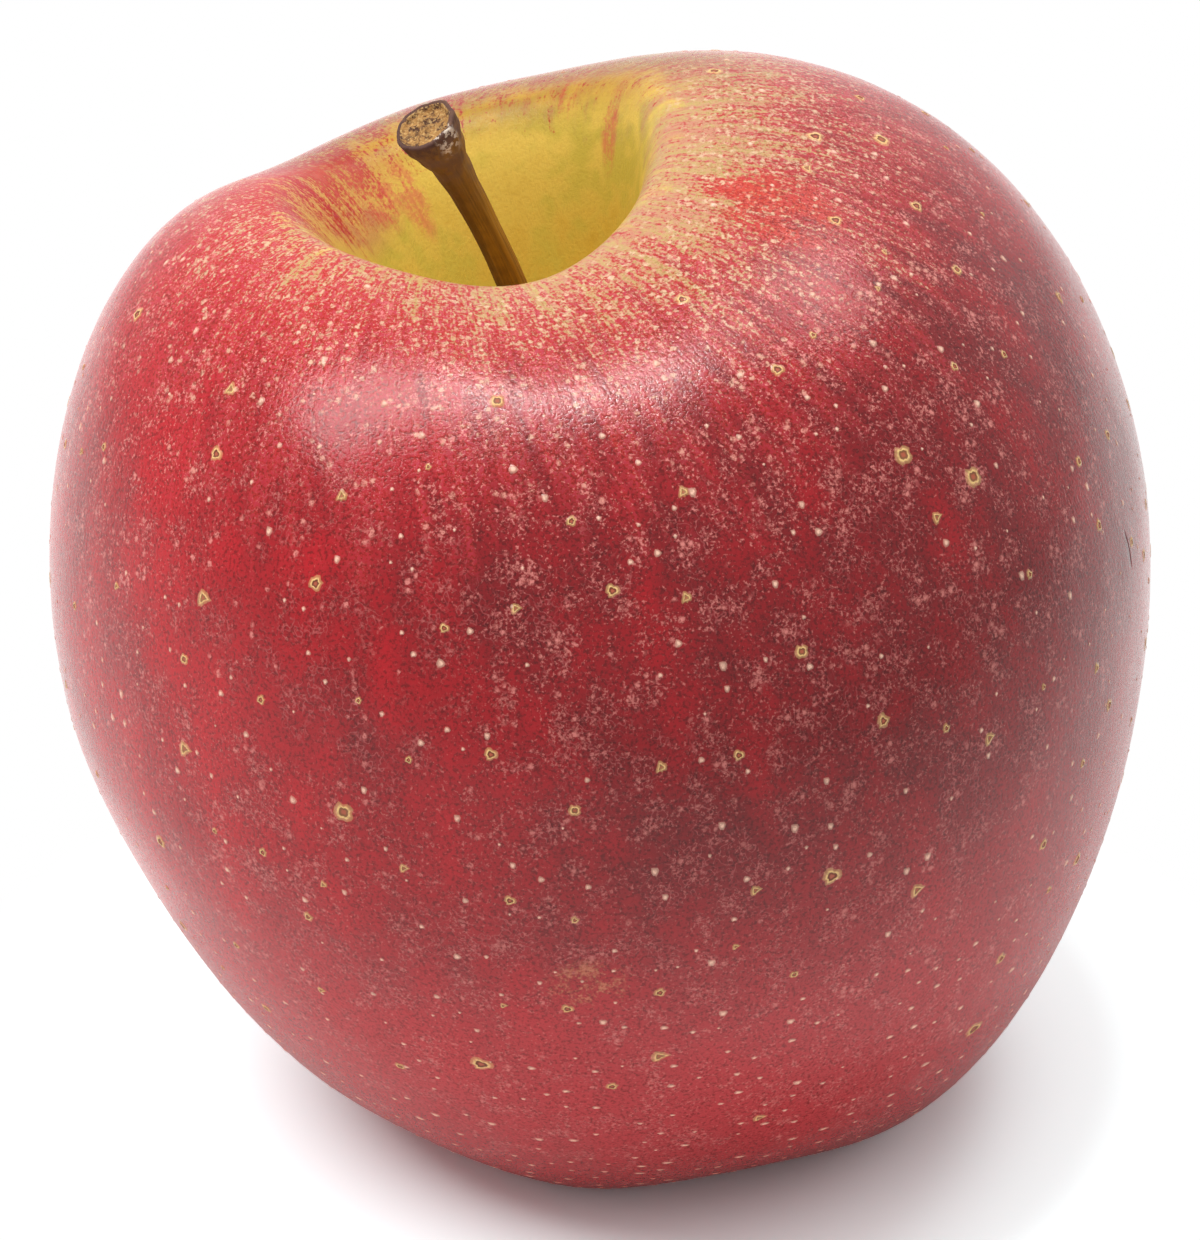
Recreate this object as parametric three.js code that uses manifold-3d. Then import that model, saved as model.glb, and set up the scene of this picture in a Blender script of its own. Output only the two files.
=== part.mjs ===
// Red dessert apple with its stem and the dried flower at its base.
// Millimetres. +Z is up, the front is -Y, and the apple stands on Z = 0.

import * as THREE from 'three';
import { mergeVertices } from 'three/addons/utils/BufferGeometryUtils.js';
import Module from 'manifold-3d';

const wasm = await Module();
wasm.setup();

const { cos, sin, tan, max, min, PI } = Math;
const { degToRad } = THREE.MathUtils;

// Body outline, from the stem cavity down to the blossom basin
const height = 72.8;
const girthRadius = 39.7;
const girthHeight = 40.3;
const crestRadius = 15;
const cavityDepth = 20.8;
const footRadius = 15.1;
const basinDepth = 9;
const cupRadius = 3.7;
const cupDepth = 2.8;

// How far each curve of the outline runs on before it turns
const cavityFloorReach = 9;
const cavityWallReach = 6.2;
const shoulderReach = 13.8;
const cheekRise = 16.3;
const cheekDrop = 11.5;
const bellyReach = 15.9;

// How this apple departs from a turned shape: tilts in degrees, directions from +X towards +Y
const lean = { x: -13, y: -1.7 };
const bow = { x: 3.4, y: 0 };
const cavityShift = { x: -1.5, y: 1.6 };
const shoulderTilt = { x: 8.2, y: 0.1 };
const girthTilt = { x: 7.5, y: 0.7 };
const oval = { share: 0.036, towards: 57 };
const threeSided = { share: 0.014, towards: 57 };
const crestSaddle = { rise: 1.9, towards: 25 };
const lobes = { count: 5, shoulder: 0.4, belly: 0.3, foot: 1.2, towards: -37 };

// How much is taken off the lobes' undersides, for the flat spots that the apple rests on
const restCut = 0.35;

// Stem: three points of its curve, counted from the middle of the cavity's floor
const stemRoot = { x: 0.2, y: 0, z: -2.5 };
const stemElbow = { x: -2.8, y: 0.6, z: 12.1 };
const stemTip = { x: -9.7, y: -4, z: 26.7 };
const stemRadius = 0.97;
const stemRootRadius = 1.3;
const stemHeadRadius = 2.25;

// Dried flower
const sepalCount = 5;
const sepalLength = 8;
const sepalWidth = 2.5;
const sepalThickness = 0.8;
const stamenRadius = 1.25;
const stamenLength = 4.6;

// Room between pieces that grew together
const gap = 0.35;

// Facets
const turns = 64;
const curveSteps = 11;
const stemSides = 16;

const smooth = (value) => {
  const t = max(0, min(1, value));
  return t * t * (3 - 2 * t);
};

const wave = (angle, count, towards) => cos(count * (angle - degToRad(towards)));

// Half the outline, cut through the middle: x is the radius, y the height
function bodyOutline() {
  const floorHeight = height - cavityDepth;
  const outline = new THREE.Path();
  outline.moveTo(0, basinDepth + cupDepth);
  outline.lineTo(cupRadius * 0.88, basinDepth + cupDepth);
  outline.lineTo(cupRadius * 0.96, basinDepth + cupDepth * 0.8);
  outline.lineTo(cupRadius, basinDepth);
  outline.bezierCurveTo(cupRadius + 2, basinDepth, footRadius - 5, 0, footRadius, 0);
  outline.bezierCurveTo(
    footRadius + bellyReach, 0, girthRadius, girthHeight - cheekDrop, girthRadius, girthHeight);
  outline.bezierCurveTo(
    girthRadius, girthHeight + cheekRise, crestRadius + shoulderReach, height, crestRadius, height);
  outline.bezierCurveTo(
    crestRadius - cavityWallReach, height, cavityFloorReach, floorHeight, 0, floorHeight);
  return outline.getPoints(curveSteps);
}

// Takes a point of the turned body to its place on the grown one
function growBody(point) {
  const radius = Math.hypot(point.x, point.y);
  const angle = Math.atan2(point.y, point.x);
  const level = max(0, min(1, point.z / height));
  const middle = 4 * level * (1 - level);
  const upper = smooth((level - 0.3) / 0.7);
  const lower = 1 - smooth(level / 0.55);
  const lobe = wave(angle, lobes.count, lobes.towards);

  const lobeGrowth = lobe * (lobes.shoulder * upper + lobes.belly * lower);
  const spread = 1 + oval.share * wave(angle, 2, oval.towards)
    + threeSided.share * wave(angle, 3, threeSided.towards)
    + (lobeGrowth / girthRadius) * smooth((radius / crestRadius - 0.3) / 1.2);
  let x = point.x * spread;
  let y = point.y * spread;
  let z = point.z;

  const crest = 0.6 * lobes.shoulder * lobe + crestSaddle.rise * wave(angle, 2, crestSaddle.towards);
  z += crest * upper * smooth(radius / crestRadius);

  const hollow = (1 - smooth(radius / (0.9 * girthRadius))) * upper;
  x += cavityShift.x * hollow;
  y += cavityShift.y * hollow;

  z += (tan(degToRad(shoulderTilt.x)) * x + tan(degToRad(shoulderTilt.y)) * y) * upper;
  z += (tan(degToRad(girthTilt.x)) * x + tan(degToRad(girthTilt.y)) * y) * middle;

  const arch = (lobes.foot * (1 - lobe)) / 2;
  z += arch * (1 - smooth(point.z / (0.15 * height))) * smooth(radius / footRadius);

  x += lean.x * level + bow.x * middle;
  y += lean.y * level + bow.y * middle;
  return new THREE.Vector3(x, y, z - restCut);
}

function moveEachVertex(geometry, place) {
  const position = geometry.attributes.position;
  const point = new THREE.Vector3();
  for (let index = 0; index < position.count; index += 1) {
    point.fromBufferAttribute(position, index);
    const moved = place(point);
    position.setXYZ(index, moved.x, moved.y, moved.z);
  }
  return geometry;
}

// A turned shape standing along +Z, from an outline of radius and height
function turned(outline, sides) {
  return new THREE.LatheGeometry(outline, sides).rotateX(PI / 2);
}

function solid(geometry) {
  const bare = geometry.clone();
  bare.deleteAttribute('normal');
  bare.deleteAttribute('uv');
  const merged = mergeVertices(bare, 1e-4);
  const vertProperties = new Float32Array(merged.attributes.position.array);
  const triVerts = new Uint32Array(merged.index.array);
  return new wasm.Manifold(new wasm.Mesh({ numProp: 3, vertProperties, triVerts }));
}

function surfaceOf(manifold) {
  const { vertProperties, triVerts } = manifold.getMesh();
  const geometry = new THREE.BufferGeometry();
  geometry.setAttribute('position', new THREE.BufferAttribute(vertProperties, 3));
  geometry.setIndex(new THREE.BufferAttribute(triVerts, 1));
  geometry.computeVertexNormals();
  return geometry;
}

// The stem's middle line, from its root in the body to its broken end
function stemLine() {
  const floor = growBody(new THREE.Vector3(0, 0, height - cavityDepth));
  const [root, elbow, tip] = [stemRoot, stemElbow, stemTip].map((offset) => floor.clone().add(offset));
  return new THREE.QuadraticBezierCurve3(root, elbow, tip);
}

// Lays a turned shape, which stands along +Z and is one unit tall, onto the stem's line
function alongStem(outline) {
  const line = stemLine();
  return moveEachVertex(turned(outline, stemSides), (point) => {
    const heading = line.getTangent(max(0, min(1, point.z)));
    const middle = line.getPoint(max(0, min(1, point.z)));
    middle.addScaledVector(heading, min(0, point.z) * line.getLength());
    const across = new THREE.Vector3(0, 1, 0).cross(heading).normalize();
    const beside = heading.clone().cross(across);
    return middle.addScaledVector(across, point.x).addScaledVector(beside, point.y);
  });
}

function makeStem() {
  return alongStem([
    new THREE.Vector2(0, 0),
    new THREE.Vector2(stemRootRadius * 0.9, 0),
    new THREE.Vector2(stemRootRadius, 0.04),
    new THREE.Vector2(stemRootRadius * 0.95, 0.11),
    new THREE.Vector2(stemRadius * 1.12, 0.18),
    new THREE.Vector2(stemRadius, 0.3),
    new THREE.Vector2(stemRadius, 0.45),
    new THREE.Vector2(stemRadius * 1.08, 0.6),
    new THREE.Vector2(stemRadius * 1.24, 0.7),
    new THREE.Vector2(stemRadius * 1.42, 0.8),
    new THREE.Vector2(stemHeadRadius * 0.71, 0.88),
    new THREE.Vector2(stemHeadRadius * 0.86, 0.94),
    new THREE.Vector2(stemHeadRadius * 0.98, 0.975),
    new THREE.Vector2(stemHeadRadius * 0.94, 1),
    new THREE.Vector2(stemHeadRadius * 0.6, 0.985),
    new THREE.Vector2(0, 0.98),
  ]);
}

// The room in the body that the stem's root sits in
function makeStemSocket() {
  const below = -gap / stemLine().getLength();
  return alongStem([
    new THREE.Vector2(0, below),
    new THREE.Vector2(stemRootRadius * 0.9 + gap, below),
    new THREE.Vector2(stemRootRadius + gap, 0.04),
    new THREE.Vector2(stemRootRadius + gap, 0.2),
    new THREE.Vector2(0, 0.2),
  ]);
}

function makeBody() {
  const skin = moveEachVertex(turned(bodyOutline(), turns), growBody);
  const under = new THREE.BoxGeometry(3 * footRadius, 3 * footRadius, 10).translate(0, 0, -5);
  return surfaceOf(solid(skin).subtract(solid(under)).subtract(solid(makeStemSocket())));
}

// A dried leaf of the flower, hanging from the cup: its middle drawn in, its tip curled outwards
function makeSepal() {
  const outline = [
    new THREE.Vector2(0, 1),
    new THREE.Vector2(0.05, 0.99),
    new THREE.Vector2(0.16, 0.92),
    new THREE.Vector2(0.32, 0.75),
    new THREE.Vector2(0.46, 0.55),
    new THREE.Vector2(0.5, 0.35),
    new THREE.Vector2(0.43, 0.15),
    new THREE.Vector2(0.36, 0.01),
    new THREE.Vector2(0, 0),
  ];
  return moveEachVertex(turned(outline, 8), (point) => {
    const drawnIn = 0.35 * sin(PI * min(1, 2 * point.z));
    const curled = 3.9 * smooth((point.z - 0.45) / 0.9);
    const out = 2.4 - drawnIn + curled + point.x * sepalThickness;
    return new THREE.Vector3(out, point.y * sepalWidth, -point.z * sepalLength * 0.93);
  });
}

// The dried stamens and styles, as one tuft
function makeStamens() {
  return turned([
    new THREE.Vector2(0, -stamenLength),
    new THREE.Vector2(stamenRadius * 0.55, -stamenLength * 0.94),
    new THREE.Vector2(stamenRadius, -stamenLength * 0.7),
    new THREE.Vector2(stamenRadius * 0.75, -stamenLength * 0.3),
    new THREE.Vector2(stamenRadius * 0.6, 0),
    new THREE.Vector2(0, 0),
  ], 12);
}

function piece(name, geometry, material) {
  const mesh = new THREE.Mesh(geometry, material);
  mesh.name = name;
  return mesh;
}

const skinMaterial = () => new THREE.MeshStandardMaterial({
  color: 0x9e3238,
  roughness: 0.42,
  metalness: 0,
});
const stemMaterial = () => new THREE.MeshStandardMaterial({
  color: 0x6b4a22,
  roughness: 0.8,
  metalness: 0,
});
const sepalMaterial = () => new THREE.MeshStandardMaterial({
  color: 0x6f6243,
  roughness: 0.95,
  metalness: 0,
});
const stamenMaterial = () => new THREE.MeshStandardMaterial({
  color: 0x3b2a1a,
  roughness: 0.95,
  metalness: 0,
});

function makeFlower() {
  const flower = new THREE.Group();
  for (let index = 0; index < sepalCount; index += 1) {
    const sepal = piece(`sepal_${index + 1}`, makeSepal(), sepalMaterial());
    sepal.rotation.z = degToRad(lobes.towards) + (2 * PI * index) / sepalCount;
    flower.add(sepal);
  }
  flower.add(piece('stamens', makeStamens(), stamenMaterial()));
  flower.position.copy(growBody(new THREE.Vector3(0, 0, basinDepth + cupDepth)));
  flower.position.z -= gap;
  return flower;
}

const apple = new THREE.Group();
apple.add(piece('fruit', makeBody(), skinMaterial()));
apple.add(piece('stem', makeStem(), stemMaterial()));
apple.add(makeFlower());

// The origin is under the middle of the whole apple, on the surface it stands on
const middle = new THREE.Box3().setFromObject(apple).getCenter(new THREE.Vector3());
apple.position.set(-middle.x, -middle.y, 0);

const group = new THREE.Group();
group.add(apple);

export default group;
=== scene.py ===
from math import cos, pi, radians, sin, tan, tau
from random import Random

import bmesh
import bpy
from mathutils import Matrix, Vector, noise
from mathutils.geometry import interpolate_bezier


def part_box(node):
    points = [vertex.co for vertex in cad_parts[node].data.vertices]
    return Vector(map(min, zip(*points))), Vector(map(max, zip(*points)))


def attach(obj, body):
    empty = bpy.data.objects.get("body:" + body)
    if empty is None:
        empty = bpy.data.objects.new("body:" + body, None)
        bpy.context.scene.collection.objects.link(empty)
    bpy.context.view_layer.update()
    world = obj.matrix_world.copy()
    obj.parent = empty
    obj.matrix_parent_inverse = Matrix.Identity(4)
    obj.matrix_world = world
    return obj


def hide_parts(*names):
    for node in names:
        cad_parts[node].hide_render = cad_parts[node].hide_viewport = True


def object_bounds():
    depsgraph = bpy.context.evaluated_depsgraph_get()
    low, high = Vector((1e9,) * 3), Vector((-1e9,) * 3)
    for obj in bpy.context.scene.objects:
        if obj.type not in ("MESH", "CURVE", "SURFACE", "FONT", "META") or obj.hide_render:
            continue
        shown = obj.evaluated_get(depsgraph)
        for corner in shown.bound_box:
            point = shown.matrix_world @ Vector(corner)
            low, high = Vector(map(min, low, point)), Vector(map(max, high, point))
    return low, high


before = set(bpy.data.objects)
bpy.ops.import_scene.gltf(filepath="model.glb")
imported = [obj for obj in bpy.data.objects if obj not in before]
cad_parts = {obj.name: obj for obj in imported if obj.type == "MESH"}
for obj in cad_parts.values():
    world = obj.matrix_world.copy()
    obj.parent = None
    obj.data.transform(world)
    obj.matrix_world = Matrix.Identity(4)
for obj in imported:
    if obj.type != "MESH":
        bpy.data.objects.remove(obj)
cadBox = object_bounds()
mm = 0.001


# Node maths as Python: an expression on wires adds the nodes that work it out

class Wire:
    def __init__(self, tree, socket=None):
        self.tree = tree
        self.socket = socket

    def make(self, kind, settings=None, values=None, output=0):
        node = self.tree.nodes.new(kind)
        for name, value in (settings or {}).items():
            setattr(node, name, value)
        for key, value in (values or {}).items():
            if isinstance(value, Wire):
                self.tree.links.new(value.socket, node.inputs[key])
            else:
                node.inputs[key].default_value = value
        return Wire(self.tree, node.outputs[output] if node.outputs else None)

    def other(self, name):  # another output of the same node
        return Wire(self.tree, self.socket.node.outputs[name])

    def parts(self):  # x, y and z
        split = self.make("ShaderNodeSeparateXYZ", None, {0: self})
        return [split.other(axis) for axis in "XYZ"]

    def calc(self, operation, *values):
        return self.make("ShaderNodeMath", {"operation": operation}, dict(enumerate(values)))

    def __add__(self, other):
        return self.calc("ADD", self, other)

    def __radd__(self, other):
        return self.calc("ADD", other, self)

    def __sub__(self, other):
        return self.calc("SUBTRACT", self, other)

    def __rsub__(self, other):
        return self.calc("SUBTRACT", other, self)

    def __mul__(self, other):
        return self.calc("MULTIPLY", self, other)

    def __rmul__(self, other):
        return self.calc("MULTIPLY", other, self)

    def __truediv__(self, other):
        return self.calc("DIVIDE", self, other)

    def __rtruediv__(self, other):
        return self.calc("DIVIDE", other, self)

    def __neg__(self):
        return self.calc("MULTIPLY", self, -1.0)

    def __abs__(self):
        return self.calc("ABSOLUTE", self)


def paint(red, green, blue):  # a colour as a painter picks it, 0 to 255
    return tuple((part / 255) ** 2.2 for part in (red, green, blue)) + (1.0,)


def step(value, low, high):  # 0 below low, 1 above high, soft between
    settings = {"interpolation_type": "SMOOTHSTEP"}
    values = {"Value": value, "From Min": low, "From Max": high}
    return value.make("ShaderNodeMapRange", settings, values)


def mix(share, first, second, blend="MIX"):  # colours
    settings = {"data_type": "RGBA", "blend_type": blend}
    wire = next(part for part in (share, first, second) if isinstance(part, Wire))
    return wire.make("ShaderNodeMix", settings, {0: share, 6: first, 7: second}, output=2)


def vector(x, y, z):
    wire = next(part for part in (x, y, z) if isinstance(part, Wire))
    return wire.make("ShaderNodeCombineXYZ", None, {0: x, 1: y, 2: z})


def cloud(where, size, detail=2.0, rough=0.5):  # noise from 0 to 1, with lumps of that size
    values = {"Vector": where, "Scale": 1 / size, "Detail": detail, "Roughness": rough}
    return where.make("ShaderNodeTexNoise", None, values)


def sway(noisy, reach):  # noise as a shift, by up to half that reach either way
    return (noisy - 0.5) * reach


def carried(wire, name, output="Fac"):  # what the mesh carries under that name
    return wire.make("ShaderNodeAttribute", {"attribute_name": name}).other(output)


def startMaterial(name):
    material = bpy.data.materials.new(name)
    material.use_nodes = True
    material.node_tree.nodes.clear()
    return material, Wire(material.node_tree)


def finishMaterial(wire, colour, rough, relief, constants):  # relief is a height in metres
    bump = wire.make("ShaderNodeBump", None, {"Strength": 1.0, "Distance": 1.0, "Height": relief})
    values = {"Base Color": colour, "Roughness": rough, "Normal": bump}
    values.update(constants)
    shader = wire.make("ShaderNodeBsdfPrincipled", None, values)
    wire.make("ShaderNodeOutputMaterial", None, {"Surface": shader})


# Geometry trees and plain meshes

socketKinds = {
    int: "NodeSocketInt",
    float: "NodeSocketFloat",
    bpy.types.Object: "NodeSocketObject",
    bpy.types.Material: "NodeSocketMaterial",
    bpy.types.Collection: "NodeSocketCollection",
}


def startTree(name, sizes):
    tree = bpy.data.node_groups.new(name, "GeometryNodeTree")
    for label, value in sizes.items():
        tree.interface.new_socket(name=label, in_out="INPUT", socket_type=socketKinds[type(value)])
    tree.interface.new_socket(name="Geometry", in_out="OUTPUT", socket_type="NodeSocketGeometry")
    given = Wire(tree).make("NodeGroupInput")
    return given, {label: given.other(label) for label in sizes}


def finishTree(geometry, material):  # ends in real, smooth, painted geometry
    real = geometry.make("GeometryNodeRealizeInstances", None, {"Geometry": geometry})
    rounded = real.make("GeometryNodeSetShadeSmooth", None, {"Geometry": real})
    painted = rounded.make("GeometryNodeSetMaterial", None, {"Geometry": rounded, "Material": material})
    painted.make("NodeGroupOutput", None, {"Geometry": painted})
    return painted.tree


def linked(piece):
    bpy.context.scene.collection.objects.link(piece)
    return piece


def growPiece(name, tree, sizes):  # runs the tree once and keeps its result as a plain mesh
    host = linked(bpy.data.objects.new(name + "Host", bpy.data.meshes.new(name + "Host")))
    modifier = host.modifiers.new("grow", "NODES")
    modifier.node_group = tree
    for item in tree.interface.items_tree:
        if item.in_out == "INPUT":
            modifier[item.identifier] = sizes[item.name]
    depsgraph = bpy.context.evaluated_depsgraph_get()
    mesh = bpy.data.meshes.new_from_object(
        host.evaluated_get(depsgraph), preserve_all_data_layers=True, depsgraph=depsgraph)
    mesh.name = name
    bpy.data.objects.remove(host)
    return linked(bpy.data.objects.new(name, mesh))


def ringFaces(rows, count):  # the faces between that many rings of count points
    faces = []
    for row in range(rows - 1):
        for index in range(count):
            beside = (index + 1) % count
            faces.append((row * count + index, row * count + beside,
                          (row + 1) * count + beside, (row + 1) * count + index))
    return faces


def loft(name, rings, material, marks=None):  # a closed skin over rings of equally many points
    points = [point for ring in rings for point in ring]
    mesh = bpy.data.meshes.new(name)
    mesh.from_pydata(points, [], ringFaces(len(rings), len(rings[0])))
    for label, values in (marks or {}).items():
        kind = "FLOAT" if isinstance(values[0], float) else "FLOAT_VECTOR"
        layer = mesh.attributes.new(label, kind, "POINT")
        for item, value in zip(layer.data, values):
            if kind == "FLOAT":
                item.value = value
            else:
                item.vector = value
    build = bmesh.new()
    build.from_mesh(mesh)
    bmesh.ops.remove_doubles(build, verts=build.verts, dist=0.0005 * mm)
    bmesh.ops.recalc_face_normals(build, faces=build.faces)
    build.to_mesh(mesh)
    build.free()
    mesh.materials.append(material)
    mesh.shade_smooth()
    return linked(bpy.data.objects.new(name, mesh))


def keepPiece(piece, slot, *nodes):
    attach(piece, "root")
    if nodes:
        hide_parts(*nodes)
    print(piece.name, len(piece.data.polygons), "faces")


def smooth(share):
    share = min(1, max(0, share))
    return share * share * (3 - 2 * share)


def corners(node):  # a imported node's lowest and highest corners
    return [Vector(corner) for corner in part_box(node)]


# The body: an outline turned about its axis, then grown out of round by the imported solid's own rule

bodySizes = {
    "Height": 72.8 * mm,
    "Girth Radius": 39.7 * mm,
    "Girth Height": 40.3 * mm,
    "Crest Radius": 15.0 * mm,
    "Cavity Depth": 20.8 * mm,
    "Foot Radius": 15.1 * mm,
    "Basin Depth": 9.0 * mm,
    "Cup Radius": 3.7 * mm,
    "Cup Depth": 2.8 * mm,
    "Rest Cut": 0.35 * mm,
}
outlineReach = {
    "cavityFloor": 9.0 * mm,
    "cavityWall": 6.2 * mm,
    "shoulder": 13.8 * mm,
    "cheekRise": 16.3 * mm,
    "cheekDrop": 11.5 * mm,
    "belly": 15.9 * mm,
    "foot": 5.0 * mm,
    "basin": 2.0 * mm,
}
growthSizes = {
    "Lean X": -13.0 * mm,
    "Lean Y": -1.7 * mm,
    "Bow X": 3.4 * mm,
    "Cavity Shift X": -1.5 * mm,
    "Cavity Shift Y": 1.6 * mm,
    "Shoulder Tilt X": tan(radians(8.2)),
    "Shoulder Tilt Y": tan(radians(0.1)),
    "Girth Tilt X": tan(radians(7.5)),
    "Girth Tilt Y": tan(radians(0.7)),
    "Oval Share": 0.036,
    "Three Sided Share": 0.014,
    "Oval Towards": radians(57),
    "Saddle Rise": 1.9 * mm,
    "Saddle Towards": radians(25),
    "Lobe Shoulder": 0.4 * mm,
    "Lobe Belly": 0.3 * mm,
    "Lobe Foot": 1.2 * mm,
    "Lobe Towards": radians(-37),
}
skinSizes = {
    "Around": 300,
    "Along": 250,
    "Inset": 0.05 * mm,
    "Swell": 0.2 * mm,
    "Swell Size": 11.0 * mm,
    "Ripple": 0.04 * mm,
    "Ripple Size": 3.0 * mm,
    "Foot Fade": 3.0 * mm,
    "Weld": 0.001 * mm,
}
outlineSteps = 200  # along each stretch between two knots


def outlineKnots():  # each knot with its handles, from the flower's cup to the cavity floor
    size, reach = bodySizes, outlineReach
    cup, foot, girth, crest = (size[part + " Radius"] for part in ("Cup", "Foot", "Girth", "Crest"))
    basin, level, top = size["Basin Depth"], size["Girth Height"], size["Height"]
    cupTop, floor = basin + size["Cup Depth"], top - size["Cavity Depth"]
    return [
        ((0, cupTop), (0, cupTop), (0, cupTop)),
        ((cup * 0.88, cupTop),) * 3,
        ((cup * 0.96, basin + size["Cup Depth"] * 0.8),) * 3,
        ((cup, basin), (cup, basin), (cup + reach["basin"], basin)),
        ((foot, 0), (foot - reach["foot"], 0), (foot + reach["belly"], 0)),
        ((girth, level), (girth, level - reach["cheekDrop"]), (girth, level + reach["cheekRise"])),
        ((crest, top), (crest + reach["shoulder"], top), (crest - reach["cavityWall"], top)),
        ((0, floor), (reach["cavityFloor"], floor), (0, floor)),
    ]


def outlineLengths():  # of each stretch between two knots
    knots = outlineKnots()
    lengths = []
    for (start, _, leave), (end, arrive, _) in zip(knots, knots[1:]):
        points = interpolate_bezier(*(Vector(place) for place in (start, leave, arrive, end)), outlineSteps)
        lengths.append(sum((b - a).length for a, b in zip(points, points[1:])))
    return lengths


def makeOutline():
    knots = outlineKnots()
    curve = bpy.data.curves.new("outline", "CURVE")
    curve.dimensions = "3D"
    curve.resolution_u = outlineSteps
    spline = curve.splines.new("BEZIER")
    spline.bezier_points.add(len(knots) - 1)
    for point, (place, arrive, leave) in zip(spline.bezier_points, knots):
        point.co = (place[0], 0, place[1])
        point.handle_left = (arrive[0], 0, arrive[1])
        point.handle_right = (leave[0], 0, leave[1])
    return linked(bpy.data.objects.new("outline", curve))


def wave(angle, count, towards):
    return angle.calc("COSINE", (angle - towards) * float(count))


def growBody(flat, angle, size):  # from the turned outline to the grown body
    radius, _, rise = flat.parts()
    level = rise.calc("MINIMUM", rise / size["Height"], 1.0)
    middle = level * (1 - level) * 4
    upper = step(level, 0.3, 1.0)
    lower = 1 - step(level, 0.0, 0.55)
    lobe = wave(angle, 5, size["Lobe Towards"])
    share = radius / size["Crest Radius"]

    lobeGrowth = lobe * (size["Lobe Shoulder"] * upper + size["Lobe Belly"] * lower)
    spread = (1 + size["Oval Share"] * wave(angle, 2, size["Oval Towards"])
              + size["Three Sided Share"] * wave(angle, 3, size["Oval Towards"])
              + lobeGrowth / size["Girth Radius"] * step(share, 0.3, 1.5))
    x = radius * spread * angle.calc("COSINE", angle)
    y = radius * spread * angle.calc("SINE", angle)

    saddle = size["Saddle Rise"] * wave(angle, 2, size["Saddle Towards"])
    crest = size["Lobe Shoulder"] * lobe * 0.6 + saddle
    z = rise + crest * upper * step(share, 0.0, 1.0)
    hollow = (1 - step(radius / size["Girth Radius"], 0.0, 0.9)) * upper
    x = x + size["Cavity Shift X"] * hollow
    y = y + size["Cavity Shift Y"] * hollow
    z = z + (size["Shoulder Tilt X"] * x + size["Shoulder Tilt Y"] * y) * upper
    z = z + (size["Girth Tilt X"] * x + size["Girth Tilt Y"] * y) * middle

    arch = size["Lobe Foot"] * (1 - lobe) / 2
    low = 1 - step(rise / size["Height"], 0.0, 0.15)
    z = z + arch * low * step(radius / size["Foot Radius"], 0.0, 1.0)
    x = x + size["Lean X"] * level + size["Bow X"] * middle
    y = y + size["Lean Y"] * level
    return vector(x, y, z.calc("MAXIMUM", z - size["Rest Cut"], 0.0))


def skinTree(sizes):
    given, size = startTree("skin", sizes)
    grid = given.make("GeometryNodeMeshGrid", None, {
        "Size X": 1.0,
        "Size Y": 1.0,
        "Vertices X": size["Around"] + 1,
        "Vertices Y": size["Along"] + 1,
    })
    east, north, _ = given.make("GeometryNodeInputPosition").parts()
    angle = (east + 0.5) * tau + pi / 2
    along = north + 0.5
    outline = given.make("GeometryNodeObjectInfo", None, {"Object": size["Outline"]}).other("Geometry")
    settings = {"mode": "FACTOR", "use_all_curves": True}
    sampled = given.make("GeometryNodeSampleCurve", settings, {"Curves": outline, "Factor": along})
    flat = sampled.other("Position")

    crown = (size["Crest Share"] - along) * size["Outline Length"]
    grown = vector(angle.calc("COSINE", angle), angle.calc("SINE", angle), crown)
    settings = {"data_type": "FLOAT_VECTOR", "domain": "POINT"}
    named = grid.make("GeometryNodeStoreNamedAttribute", settings, {
        "Geometry": grid, "Name": "grown", "Value": grown})
    shaped = named.make("GeometryNodeSetPosition", None, {
        "Geometry": named, "Position": growBody(flat, angle, size)})
    closed = shaped.make("GeometryNodeMergeByDistance", None, {"Geometry": shaped, "Distance": size["Weld"]})

    here = given.make("GeometryNodeInputPosition")
    swell = size["Swell"] * cloud(here, size["Swell Size"], 1.0)
    relief = swell + size["Ripple"] * cloud(here, size["Ripple Size"])
    inward = (size["Inset"] + relief) * step(here.parts()[2], 0.0, size["Foot Fade"])
    normal = given.make("GeometryNodeInputNormal")
    offset = normal.make("ShaderNodeVectorMath", {"operation": "SCALE"}, {0: normal, "Scale": -inward})
    eased = closed.make("GeometryNodeSetPosition", None, {"Geometry": closed, "Offset": offset})
    return finishTree(eased, size["Material"])


# The skin's finish. Its map "grown" holds the direction about the axis and the distance from the
# shoulder's crest: positive down the cheek, negative in the cavity

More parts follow.
